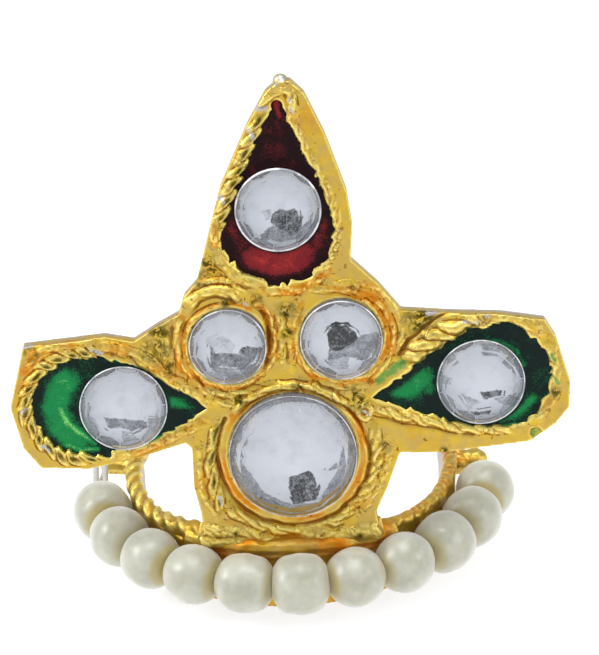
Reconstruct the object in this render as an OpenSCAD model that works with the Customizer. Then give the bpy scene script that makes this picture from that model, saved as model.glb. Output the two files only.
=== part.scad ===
// A mukut, the small crown that a household deity wears: a flat cast and gilded front plate
// with foil-backed stones and enamelled drops, standing on a plain head ring that is open at
// the back and carries a string of pearl beads round its front. Millimetres, Z up, origin at
// the middle of the ring on its lower edge. The front faces -Y, and angles are from the front.

/* [Head ring] */
// Radius of the opening that the head goes into
ring_inner_r = 10.4; // [9.4:0.1:11]
// Thickness of the ring's wall
ring_wall = 1.0; // [0.8:0.1:1.2]
// Height of the wall, up to the middle of the wire on its top edge
ring_h = 4.3; // [3.6:0.1:4.6]
// Diameter of the twisted wire on the top edge
ring_wire_d = 1.1; // [0.8:0.1:1.2]
// Angle of the ring's end on the viewer's left
ring_left_end = -108; // [-116:1:-107]
// Angle of the ring's end on the viewer's right
ring_right_end = 106; // [102:1:115]

/* [Front plate] */
// How far the plate leans back over the head, in degrees
plate_lean = 10; // [6:1:12]
// Thickness of the cast plate
plate_t = 1.1; // [1.1:0.1:1.6]
// Distance of the plate's front face from the ring's middle, at its foot
plate_front = 11.0; // [10.8:0.1:11.2]
// Height of the plate's foot above the ring's lower edge
plate_foot = 4.5; // [4.5:0.1:4.9]
// Depth of the enamel cells below the plate's face
cell_depth = 0.6; // [0.4:0.1:0.8]
// Width of the wire round each cell
cell_wire_w = 0.75; // [0.5:0.05:0.9]
// Height of the wires above the plate's face
wire_rise = 0.5; // [0.3:0.1:0.7]

/* [Stones] */
// Diameter of the large centre stone
center_stone_d = 8.5; // [7.5:0.1:8.8]
// Diameter of the stone in the top drop
top_stone_d = 5.6; // [5:0.1:6]
// Diameter of the stone in each wing
wing_stone_d = 5.8; // [5.2:0.1:6.2]
// Diameter of the small stone on the left
left_stone_d = 5.1; // [4.6:0.1:5.4]
// Diameter of the small stone on the right
right_stone_d = 5.4; // [4.8:0.1:5.6]

/* [Pearl string] */
// Number of pearl beads
pearl_count = 11; // [9:1:11]
// Diameter of a bead
pearl_d = 4.0; // [3.6:0.1:4]
// Length of a bead along its hole
pearl_len = 3.6; // [3.2:0.1:3.6]
// Distance of the beads from the ring's middle
pearl_path_r = 13.5; // [13.5:0.1:14]
// Height of the beads above the ring's lower edge
pearl_z = 3.07; // [2.6:0.01:3.2]
// Angle from one bead to the next
pearl_step = 15.84; // [15.84:0.1:17]
// Angle by which the whole string is shifted to the wearer's left
pearl_shift = 2.4; // [0:0.1:4]

/* [Hidden] */
function pearl_name(i) = str("pearl_", i < 10 ? "0" : "", i);

$fn = 96;

GOLD = "#d9a62e";
CRYSTAL = "#dde4ee";
RED = "#5c0f14";
GREEN = "#0f6a35";
PEARL = "#efeee2";
THREAD = "#e4e4e0";

fit_gap = 0.05;        // between a stone or an enamel and the metal round it
embed = 0.1;           // depth to which a raised rim is sunk in the plate
cut_past = 3;          // how far a hole is cut past the metal
outer_r = ring_inner_r + ring_wall;
ring_wire_inset = 0.05; // from the ring's inner face to the wire on its top edge

// Places on the plate are [across, up the slope] from the foot of its front face.
center_stone_at = [0.4, 6.6];
left_stone_at = [-3.6, 14.3];
right_stone_at = [3.9, 14.5];
top_stone_at = [0.1, 23.5];
left_wing_stone_at = [-10.7, 10.25];
right_wing_stone_at = [13.0, 11.2];

// Each enamel cell is a round belly drawn out to a point: middle, radius, point, and by how
// many degrees its sides leave the belly early, which makes them fuller.
top_cell = [[0.0, 22.1], 3.9, [0.4, 30.9], 10];
left_cell = [[-13.1, 10.3], 3.8, [-5.1, 10.0], 18];
right_cell = [[13.9, 11.5], 3.85, [5.7, 10.3], 3];

// Outline of the plate, one stretch after another, anticlockwise from the tip.
top_left_edge = [[0.5, 32.1], [-0.4, 31.4], [-1.7, 29.2], [-3.6, 25.1], [-4.5, 22.0], [-5.4, 18.8]];
left_shoulder = [[-6.3, 17.8], [-6.7, 16.6], [-8.2, 15.8], [-9.8, 14.8]];
left_wing_edge = [[-11.7, 15.2], [-17.1, 14.7], [-18.2, 10.5], [-17.5, 7.6], [-16.4, 6.2],
                  [-13.2, 6.0], [-9.8, 6.7], [-6.7, 7.6]];
left_column_edge = [[-6.3, 7.2], [-6.3, 4.5], [-5.9, 2.6], [-5.8, 1.4], [-4.6, 0.5], [-3.0, 0]];
right_column_edge = [[3.0, 0], [4.8, 0.4], [5.9, 1.4], [5.8, 2.3], [6.6, 4.0], [7.5, 6.4]];
right_wing_edge = [[10.3, 6.3], [16.2, 6.9], [17.9, 8.1], [18.8, 9.2], [18.9, 10.9], [18.0, 14.1],
                   [17.3, 15.3], [14.4, 15.8], [11.0, 16.0], [7.9, 16.3]];
right_shoulder = [[6.5, 18.1], [4.7, 19.9], [4.9, 22.2], [4.6, 24.6]];
top_right_edge = [[3.3, 28.5], [2.1, 31.2], [1.2, 32.1]];
plate_outline = concat(top_left_edge, left_shoulder, left_wing_edge, left_column_edge,
                       right_column_edge, right_wing_edge, right_shoulder, top_right_edge);

// Settings of the stones that stand outside the cells
bezel_w = 0.7;         // wire round a small stone
seat_w = 0.7;          // smooth seat round the centre stone
seat_rise = 0.6;
seat_wire_w = 0.75;    // wire round that seat
stone_sink = 0.4;      // depth of a stone's seat below the plate's face
cell_stone_clear = 0.06;

// Cut of a stone, as shares of its radius: the upright edge, then a steep and a flatter facet
// row, then the flat table. Each pair is [radius, height].
edge_share = [1, 0.2];
shoulder_share = [0.87, 0.49];
table_share = [0.6, 0.62];

// Casting that joins the plate's foot to the ring
saddle_half_angle = 32;
saddle_bottom = 3.9;
saddle_top = 5.9;
saddle_in = ring_inner_r + ring_wall / 4;
saddle_out = 11.9;
saddle_slope = 0.8;

// Eyes that hold the ends of the bead string
eye_left_angle = -103;
eye_right_angle = 98;
eye_r = 1.05;
eye_t = 1.1;
eye_arm_h = 1.3;

pearl_hole_r = 0.4;
thread_r = 0.2;
knot_r = 0.55;
knot_step = 4.95;      // angle from the middle of an eye to the knot behind it

function bead_angle(i) = pearl_shift + (i - (pearl_count + 1) / 2) * pearl_step;

// Point of a curve that leaves start towards its middle handle and ends at finish.
function side_point(start, handle, finish, t) =
    (1 - t) * (1 - t) * start + 2 * t * (1 - t) * handle + t * t * finish;

// Points of a round belly whose two sides draw in to a point, all moved outwards by grow.
function drop_points(cell, grow = 0) =
    let (
        belly = cell[0],
        r = cell[1] + grow,
        size = r / cell[1],
        reach = (cell[2] - belly) * size,
        point = belly + reach,
        lead = atan2(reach[1], reach[0]),
        side = acos(cell[1] / norm(cell[2] - belly)) + cell[3],
        handle_reach = norm(reach) * 0.45,
        leave = [for (way = [1, -1]) let (a = lead + way * side) belly + r * [cos(a), sin(a)]],
        handle = [for (i = [0, 1])
            let (way = 1 - 2 * i, a = lead + way * (side - 90))
            leave[i] + handle_reach * [cos(a), sin(a)]],
        side_steps = 6,
        belly_steps = 24)
    concat(
        [for (i = [0 : side_steps - 1]) side_point(point, handle[0], leave[0], i / side_steps)],
        [for (i = [0 : belly_steps])
            let (a = lead + side + (360 - 2 * side) * i / belly_steps)
            belly + r * [cos(a), sin(a)]],
        [for (i = [1 : side_steps - 1]) side_point(leave[1], handle[1], point, i / side_steps)]);

// Half outline of a bead, from the edge of its hole at one end to the other.
function bead_profile(steps = 14) =
    let (start = acos(pearl_hole_r / (pearl_d / 2)))
    [for (i = [0 : steps])
        let (a = -start + 2 * start * i / steps)
        [pearl_d / 2 * cos(a), pearl_len / 2 * sin(a)]];

module on_plate() {
    translate([0, -plate_front, plate_foot])
        rotate([90 - plate_lean, 0, 0])
            children();
}

module at_angle(a) {
    rotate([0, 0, a - 90])
        children();
}

module cell_wire(cell) {
    linear_extrude(height = wire_rise)
        intersection() {
            polygon(plate_outline);
            polygon(drop_points(cell, cell_wire_w));
        }
}

module cell_hollow(cell) {
    translate([0, 0, -cell_depth])
        linear_extrude(height = cell_depth + cut_past)
            polygon(drop_points(cell));
}

module stone_seat(at, d) {
    translate([at[0], at[1], -stone_sink])
        cylinder(r = d / 2 + fit_gap, h = stone_sink + cut_past);
}

module plate() {
    difference() {
        union() {
            translate([0, 0, -plate_t])
                linear_extrude(height = plate_t)
                    polygon(plate_outline);
            cell_wire(top_cell);
            cell_wire(left_cell);
            cell_wire(right_cell);
            bezel(left_stone_at, left_stone_d);
            bezel(right_stone_at, right_stone_d);
            center_seat();
        }
        cell_hollow(top_cell);
        cell_hollow(left_cell);
        cell_hollow(right_cell);
        stone_seat(left_stone_at, left_stone_d);
        stone_seat(right_stone_at, right_stone_d);
        stone_seat(center_stone_at, center_stone_d);
    }
}

module bezel(at, d) {
    translate([at[0], at[1], -embed])
        cylinder(r = d / 2 + bezel_w, h = wire_rise + embed);
}

module center_seat() {
    translate([center_stone_at[0], center_stone_at[1], -embed]) {
        cylinder(r = center_stone_d / 2 + seat_w, h = seat_rise + embed);
        cylinder(r = center_stone_d / 2 + seat_w + seat_wire_w, h = wire_rise + embed);
    }
}

module head_ring() {
    span = ring_right_end - ring_left_end;
    at_angle(ring_left_end) {
        rotate_extrude(angle = span)
            translate([ring_inner_r, 0])
                square([ring_wall, ring_h]);
        rotate_extrude(angle = span)
            translate([ring_inner_r + ring_wire_inset + ring_wire_d / 2, ring_h])
                circle(d = ring_wire_d);
    }
}

module saddle() {
    rotate([0, 0, -90 - saddle_half_angle])
        rotate_extrude(angle = 2 * saddle_half_angle)
            polygon([[saddle_in, saddle_bottom], [outer_r - ring_wall / 4, saddle_bottom],
                     [saddle_out, saddle_bottom + saddle_slope],
                     [saddle_out, saddle_top - saddle_slope],
                     [saddle_out - saddle_slope / 2, saddle_top], [saddle_in, saddle_top]]);
}

module thread_eye(a) {
    at_angle(a)
        difference() {
            union() {
                translate([outer_r - ring_wall / 2, -eye_t / 2, pearl_z - eye_arm_h / 2])
                    cube([pearl_path_r - outer_r + ring_wall / 2, eye_t, eye_arm_h]);
                translate([pearl_path_r, 0, pearl_z])
                    rotate([90, 0, 0])
                        cylinder(r = eye_r, h = eye_t, center = true);
            }
            translate([pearl_path_r, 0, pearl_z])
                rotate([90, 0, 0])
                    cylinder(r = pearl_hole_r, h = eye_t + cut_past, center = true);
        }
}

module crown_frame() {
    color(GOLD) {
        on_plate()
            plate();
        head_ring();
        saddle();
        thread_eye(eye_left_angle);
        thread_eye(eye_right_angle);
    }
}

// Enamel lies in its cell a little below the wires, round the stone that it holds.
module enamel(cell, stone_at, stone_d) {
    translate([0, 0, -cell_depth + fit_gap])
        linear_extrude(height = cell_depth - fit_gap)
            difference() {
                polygon(drop_points(cell, -fit_gap));
                translate(stone_at)
                    circle(r = stone_d / 2 + cell_stone_clear);
            }
}

module stone(at, d, base) {
    r = d / 2;
    translate([at[0], at[1], base])
        rotate_extrude()
            polygon([[0, 0], [r, 0], r * edge_share, r * shoulder_share, r * table_share,
                     [0, r * table_share[1]]]);
}

module cell_stone(at, d) {
    color(CRYSTAL)
        on_plate()
            stone(at, d, -cell_depth + fit_gap);
}

module bezel_stone(at, d) {
    color(CRYSTAL)
        on_plate()
            stone(at, d, -stone_sink + fit_gap);
}

module red_enamel() {
    color(RED)
        on_plate()
            enamel(top_cell, top_stone_at, top_stone_d);
}

module green_enamel(cell, stone_at) {
    color(GREEN)
        on_plate()
            enamel(cell, stone_at, wing_stone_d);
}

module pearl(i) {
    color(PEARL)
        at_angle(bead_angle(i))
            translate([pearl_path_r, 0, pearl_z])
                rotate([90, 0, 0])
                    rotate_extrude()
                        polygon(bead_profile());
}

module bead_thread() {
    color(THREAD) {
        at_angle(eye_left_angle - knot_step)
            rotate_extrude(angle = eye_right_angle - eye_left_angle + 2 * knot_step)
                translate([pearl_path_r, pearl_z])
                    circle(r = thread_r);
        for (a = [eye_left_angle - knot_step, eye_right_angle + knot_step])
            at_angle(a)
                translate([pearl_path_r, 0, pearl_z])
                    sphere(r = knot_r);
    }
}

crown_frame();
red_enamel();
green_enamel(left_cell, left_wing_stone_at);  // green_enamel_left
green_enamel(right_cell, right_wing_stone_at);  // green_enamel_right
cell_stone(top_stone_at, top_stone_d);  // top_stone
cell_stone(left_wing_stone_at, wing_stone_d);  // left_wing_stone
cell_stone(right_wing_stone_at, wing_stone_d);  // right_wing_stone
bezel_stone(left_stone_at, left_stone_d);  // left_small_stone
bezel_stone(right_stone_at, right_stone_d);  // right_small_stone
bezel_stone(center_stone_at, center_stone_d);  // center_stone
bead_thread();
for (i = [1 : pearl_count])
    pearl(i);
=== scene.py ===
import random
from math import acos, atan2, copysign, cos, degrees, hypot, pi, radians, sin

import bpy
import numpy as np
from mathutils import Matrix, Vector, noise


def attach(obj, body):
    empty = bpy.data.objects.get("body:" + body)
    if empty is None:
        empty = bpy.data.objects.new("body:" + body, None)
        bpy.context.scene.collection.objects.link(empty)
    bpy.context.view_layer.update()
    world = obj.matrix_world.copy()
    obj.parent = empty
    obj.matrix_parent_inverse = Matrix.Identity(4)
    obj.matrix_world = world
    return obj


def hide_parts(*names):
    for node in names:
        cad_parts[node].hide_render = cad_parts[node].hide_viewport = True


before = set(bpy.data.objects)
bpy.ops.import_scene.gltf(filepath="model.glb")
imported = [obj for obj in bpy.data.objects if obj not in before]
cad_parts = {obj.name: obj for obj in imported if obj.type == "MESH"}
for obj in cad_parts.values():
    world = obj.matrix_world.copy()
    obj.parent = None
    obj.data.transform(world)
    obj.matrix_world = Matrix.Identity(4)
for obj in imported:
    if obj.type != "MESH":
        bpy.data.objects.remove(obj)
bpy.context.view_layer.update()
scene = bpy.context.scene

# Front plate
# The face of the crown, cast flat in soft white metal and gilded. Its rope borders, the seat of
# the large stone and the pebbled ground between them are all one casting with the plate, which
# is soldered by its foot to the head ring. It is made lying flat, in millimetres.
MM = 0.001
PLATE_LEAN = 10
PLATE_FRONT = 11.0
PLATE_FOOT = 4.5
PLATE_THICK = 1.1
PLATE_TRIANGLES = 195000
CAST_GRAIN = 0.085
TIP_R = 0.52
TIP_PLACE = (0.6, 31.95, -0.5)
STAND_UP = (Matrix.Translation((0, -PLATE_FRONT, PLATE_FOOT))
            @ Matrix.Rotation(radians(90 - PLATE_LEAN), 4, "X"))
# The plain face is drawn up from the first depth; its relief fades out down to the second
FACE_DEPTH = 0.7
RELIEF_DEPTH = 0.35
CELL_FLOOR = -0.55
BEZEL_FLOOR = -0.33
SEAT_INSIDE = 4.27
SEAT_R = 4.98
# A drop of green enamel fell here, into a pit under the right wing
PIT = (16.55, 7.45)
# What a layer of the casting's face keeps at each point, and the height that stands for no metal
LAYER = ("height", "creased", "across", "along", "amber", "worked", "pebbled")
HEIGHT, CREASED, ACROSS, ALONG, AMBER, WORKED, PEBBLED = range(len(LAYER))
NOTHING = -9.0

# A cell is a round belly drawn out to a point: middle, radius, point, fullness in degrees
TOP_CELL = ((0.0, 22.1), 3.9, (0.4, 30.9), 10)
LEFT_CELL = ((-13.1, 10.3), 3.8, (-5.1, 10.0), 18)
RIGHT_CELL = ((13.9, 11.5), 3.85, (5.7, 10.3), 3)
CENTRE_STONE = (0.4, 6.6)
LEFT_SMALL_STONE = (-3.6, 14.3)
RIGHT_SMALL_STONE = (3.9, 14.5)


def pick(piece):
    bpy.ops.object.select_all(action="DESELECT")
    piece.select_set(True)
    bpy.context.view_layer.objects.active = piece


def settle(piece, place):
    """Moves a piece by a matrix and leaves its object at the origin, unturned and unscaled."""
    pick(piece)
    piece.matrix_world = place @ piece.matrix_world
    bpy.ops.object.transform_apply()


def on_whole(piece, *steps):
    """Runs steps on the whole mesh of a piece, each an operator with its settings."""
    pick(piece)
    bpy.ops.object.mode_set(mode="EDIT")
    for step, settings in steps:
        bpy.ops.mesh.select_all(action="SELECT")
        step(**settings)
    bpy.ops.object.mode_set(mode="OBJECT")


def copy_of_node(node, name, place):
    """A copy of a CAD node in millimetres, its loose triangles merged."""
    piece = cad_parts[node].copy()
    piece.data = piece.data.copy()
    piece.name = name
    for key in list(piece.keys()):
        del piece[key]
    piece.parent = None
    piece.hide_viewport = piece.hide_render = False
    piece.data.materials.clear()
    scene.collection.objects.link(piece)
    settle(piece, place @ Matrix.Scale(1 / MM, 4))
    on_whole(piece, (bpy.ops.mesh.remove_doubles, {"threshold": 0.002}))
    return piece


def slice_off(piece, point, normal):
    """Cuts away what lies past a plane, and closes the cut."""
    on_whole(piece, (bpy.ops.mesh.bisect, {"plane_co": point, "plane_no": normal, "use_fill": True,
                                           "clear_outer": True}))


def join(pieces, name):
    pick(pieces[0])
    for piece in pieces:
        piece.select_set(True)
    bpy.ops.object.join()
    whole = bpy.context.active_object
    whole.name = name
    bpy.ops.object.transform_apply()
    return whole


def drop_outline(cell, grow=0.0):
    """Outline of a cell, moved outwards by grow."""
    side_steps, belly_steps = 14, 60
    belly, r = Vector(cell[0]), cell[1] + grow
    reach = (Vector(cell[2]) - belly) * (r / cell[1])
    point = belly + reach
    lead = atan2(reach.y, reach.x)
    side = acos(cell[1] / (Vector(cell[2]) - belly).length) + radians(cell[3])

    def leaving(way):
        angle = lead + way * side
        leave = belly + r * Vector((cos(angle), sin(angle)))
        turn = angle - way * pi / 2
        handle = leave + 0.45 * reach.length * Vector((cos(turn), sin(turn)))
        return [(1 - t) ** 2 * leave + 2 * t * (1 - t) * handle + t * t * point
                for t in (i / side_steps for i in range(side_steps + 1))]

    outline = leaving(1)[::-1]
    for i in range(1, belly_steps):
        angle = lead + side + (2 * pi - 2 * side) * i / belly_steps
        outline.append(belly + r * Vector((cos(angle), sin(angle))))
    return [tuple(p) for p in outline + leaving(-1)[:-1]]


def arc(middle, r, start=0.0, end=360.0, steps=48):
    """Points of a circle, or of a part of one, in degrees."""
    turn = radians(end - start)
    count = steps if end - start >= 360 else steps + 1
    return [Vector((middle[0] + r * cos(radians(start) + turn * i / steps),
                    middle[1] + r * sin(radians(start) + turn * i / steps)))
            for i in range(count)]


def rounded(path):
    """An open path with its corners cut, three times over."""
    path = [Vector(p) for p in path]
    for _ in range(3):
        cut = [p for a, b in zip(path, path[1:]) for p in (a.lerp(b, 0.25), a.lerp(b, 0.75))]
        path = [path[0]] + cut + [path[-1]]
    return path


def apply_modifier(piece, kind, **settings):
    pick(piece)
    made = piece.modifiers.new(kind.lower(), kind)
    for name, value in settings.items():
        setattr(made, name, value)
    bpy.ops.object.modifier_apply(modifier=made.name)


def thin_out(piece, triangles):
    apply_modifier(piece, "DECIMATE", ratio=min(1.0, triangles / (2 * len(piece.data.polygons))))


def points_of(piece, what="co"):
    """The place of each vertex, or its normal."""
    rows = np.empty(len(piece.data.vertices) * 3)
    piece.data.vertices.foreach_get(what, rows)
    return rows.reshape(-1, 3)


def set_points(piece, rows):
    piece.data.vertices.foreach_set("co", np.ascontiguousarray(rows, dtype=np.float32).ravel())
    piece.data.update()


def keep_values(piece, **kept):
    """Keeps a value for each vertex, under the name by which the material reads it."""
    for name, values in kept.items():
        found = piece.data.attributes.new(name, "FLOAT", "POINT")
        found.data.foreach_set("value", np.ascontiguousarray(values, dtype=np.float32))


def step_up(values, low, high):
    share = np.clip((values - low) / (high - low), 0, 1)
    return share * share * (3 - 2 * share)


def fade(values, full, none):
    """One up to full, and nought past none."""
    return step_up(-values, -none, -full)


def far(rows, place):
    """Distance of each point from a place on the plate."""
    return np.hypot(rows[:, 0] - place[0], rows[:, 1] - place[1])


def noise_at(rows, size, seed):
    """Smooth noise from -1 to 1 at each place, with features of a size in millimetres."""
    return np.array([noise.noise(Vector(row) / size + Vector((seed, 0, seed)))
                     for row in rows.tolist()])


def wavering(rows, size, first, second):
    """The points moved to and fro a little, so that what is drawn on them looks made by hand."""
    aside = [noise_at(rows, size, first), noise_at(rows, size, second), np.zeros(len(rows))]
    return rows + 0.12 * np.column_stack(aside)


def standing_out(piece, rounds):
    """How far each point stands out from its surroundings, or lies below them."""
    mesh = piece.data
    count = len(mesh.vertices)
    ends = np.empty(len(mesh.edges) * 2, dtype=np.int64)
    mesh.edges.foreach_get("vertices", ends)
    first, last = ends.reshape(-1, 2).T
    near = np.bincount(ends, minlength=count)
    start = points_of(piece)
    soft = start.copy()
    for _ in range(rounds):
        for axis in range(3):
            total = (np.bincount(first, soft[last, axis], count)
                     + np.bincount(last, soft[first, axis], count))
            soft[:, axis] = 0.4 * soft[:, axis] + 0.6 * total / near
    return ((start - soft) * points_of(piece, "normal")).sum(axis=1)


def beside(rows, path, closed=False):
    """For each point, how far along a path it lies, how far to its left, and how far from it.

    The path's length comes last.
    """
    line = np.array([tuple(p)[:2] for p in path] + ([tuple(path[0])[:2]] if closed else []))
    near = np.full(len(rows), 1e3)
    left = np.full(len(rows), 1e3)
    along = np.zeros(len(rows))
    total = 0.0
    for a, b in zip(line, line[1:]):
        run = b - a
        length = hypot(*run)
        away = rows[:, :2] - a
        share = np.clip(away @ run / length ** 2, 0, 1)
        dist = np.hypot(*(away - share[:, None] * run).T)
        closer = dist < near
        side = np.sign(run[0] * away[:, 1] - run[1] * away[:, 0])
        near = np.where(closer, dist, near)
        left = np.where(closer, side * dist, left)
        along = np.where(closer, total + share * length, along)
        total += length
    return along, left, near, total


def within(rows, outline):
    """Which points lie inside a closed outline."""
    odd = np.zeros(len(rows), dtype=bool)
    x, y = rows[:, 0], rows[:, 1]
    for a, b in zip(outline, outline[1:] + outline[:1]):
        if a[1] != b[1]:
            crossing = a[0] + (y - a[1]) * (b[0] - a[0]) / (b[1] - a[1])
            odd ^= ((a[1] > y) != (b[1] > y)) & (x < crossing)
    return odd


def depth_in(rows, outline):
    """How deep each point lies inside a closed outline, below nought outside it."""
    return beside(rows, outline, True)[2] * np.where(within(rows, outline), 1, -1)


def comes_round(path):
    return (Vector(path[0]) - Vector(path[-1])).length < 1.0


def strand(rows, seed, path, half, rise, tone, lobe=0, slant=0, depth=0):
    """A cast strand, as a layer.

    Half is half its width, lobe the length of a twist, slant how far each twist leans, and depth
    how deep the grooves between them are. A lobe of 0 gives a smooth strand.
    """
    layer = np.zeros((len(LAYER), len(rows)))
    layer[HEIGHT] = NOTHING
    closed = comes_round(path)
    path = path if len(path) > 30 else rounded(path)
    line = np.array([tuple(p)[:2] for p in path])
    low, high = line.min(axis=0) - half * 1.8, line.max(axis=0) + half * 1.8
    found = np.nonzero(((rows[:, :2] > low) & (rows[:, :2] < high)).all(axis=1))[0]
    along, left, near, total = beside(rows[found], path, closed)
    found, along, left = (part[near < half * 1.6] for part in (found, along, left))
    wander = noise_at(np.column_stack([along, np.full(len(along), seed), along * 0]), 1.1, seed)
    fray = noise_at(rows[found], 0.5, 31.0)
    across = (left + 0.1 * wander + 0.06 * fray) / (half * (1 + 0.3 * wander))
    over, lie = left, along
    shape = 1 + 0.35 * wander + 0.2 * fray
    if lobe:
        count = max(1, round(total / lobe))
        turn = along / total * count + 0.35 * wander + 0.5 * slant * across
        over, lie = turn * lobe, left
        edge = np.abs(2 * (turn - np.floor(turn)) - 1)
        across = across / (1.15 - 0.85 * depth * edge ** 2)
        shape *= 1 - depth * edge ** 3
        layer[CREASED, found] = step_up(edge, 0.72, 1.0) * min(1.0, 2 * depth)
        if depth > 0.5:
            dimple = np.exp(-((across - 0.1) / 0.42) ** 2 - (edge / 0.6) ** 4)
            shape *= 1 - 0.5 * dimple
            # The dimple is marked creased and pebbled, so that the material paints dark olive shade in
            # it
            layer[CREASED, found] = np.maximum(layer[CREASED, found], dimple)
            layer[PEBBLED, found] = 0.9 * dimple
    if not closed:
        shape *= step_up(np.minimum(along, total - along), -0.2, 0.9)
    crown = np.clip(1 - np.abs(across) ** 2.4, 0, 1) ** 0.8
    layer[HEIGHT, found] = np.where(np.abs(across) < 1, rise * crown * shape, NOTHING)
    layer[ACROSS, found], layer[ALONG, found] = over, lie + 7.3 * seed
    layer[AMBER], layer[WORKED] = tone, 1.0
    return layer


# The plain plate: the crown's frame above the foot, without its rims and hollows
plate = copy_of_node("crown_frame", "gilded_plate", STAND_UP.inverted())
slice_off(plate, (0, 0.02, 0), (0, -1, 0))
slice_off(plate, (0, 0, 0.01 - PLATE_THICK), (0, 0, -1))
slice_off(plate, (0, 0, -FACE_DEPTH), (0, 0, 1))
for face in plate.data.polygons:
    face.select = face.normal.z > 0.9 and face.center.z > -FACE_DEPTH - 0.01
bpy.ops.object.mode_set(mode="EDIT")
bpy.ops.mesh.extrude_region_move(TRANSFORM_OT_translate={"value": (0, 0, FACE_DEPTH)})
bpy.ops.object.mode_set(mode="OBJECT")
bpy.ops.mesh.primitive_uv_sphere_add(segments=24, ring_count=16, radius=TIP_R, location=TIP_PLACE)
plate = join([plate, bpy.context.active_object], "gilded_plate")
apply_modifier(plate, "REMESH", mode="VOXEL", voxel_size=CAST_GRAIN, adaptivity=0)

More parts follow.
